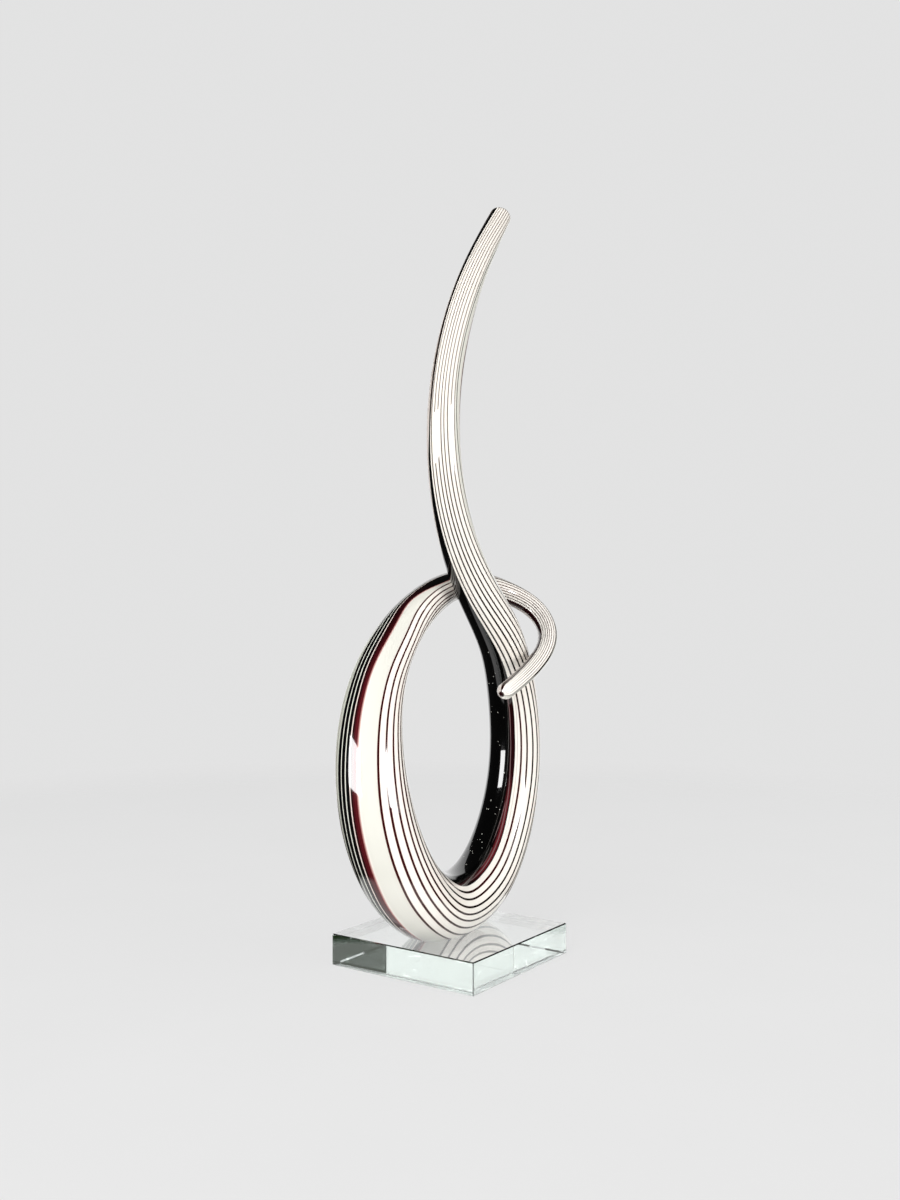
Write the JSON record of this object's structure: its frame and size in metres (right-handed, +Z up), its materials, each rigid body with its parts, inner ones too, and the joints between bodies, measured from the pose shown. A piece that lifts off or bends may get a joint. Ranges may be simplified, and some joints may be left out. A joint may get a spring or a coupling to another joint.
{
  "type": "glass spiral sculpture",
  "caption": "Tapered striped glass rod looped once into an upright oval ring with a tall tip and a small hook, on a square clear glass plinth.",
  "frame": {"origin": "middle of the plinth's underside, on the surface that the sculpture stands on", "axes": "+Z up towards the tall tip; the ring stands in the XZ plane with its thick side towards -X; -Y is the side that the hook is on"},
  "size_m": [0.2138, 0.12, 0.5373],
  "materials": {
    "clear_glass": "polished, clear, faint green tint",
    "striped_glass": "glossy; ivory with fine dark red and black lines, a black back and a maroon band"
  },
  "bodies": {
    "root": {"glass_plinth": "clear_glass", "glass_spiral": "striped_glass"}
  },
  "joints": []
}
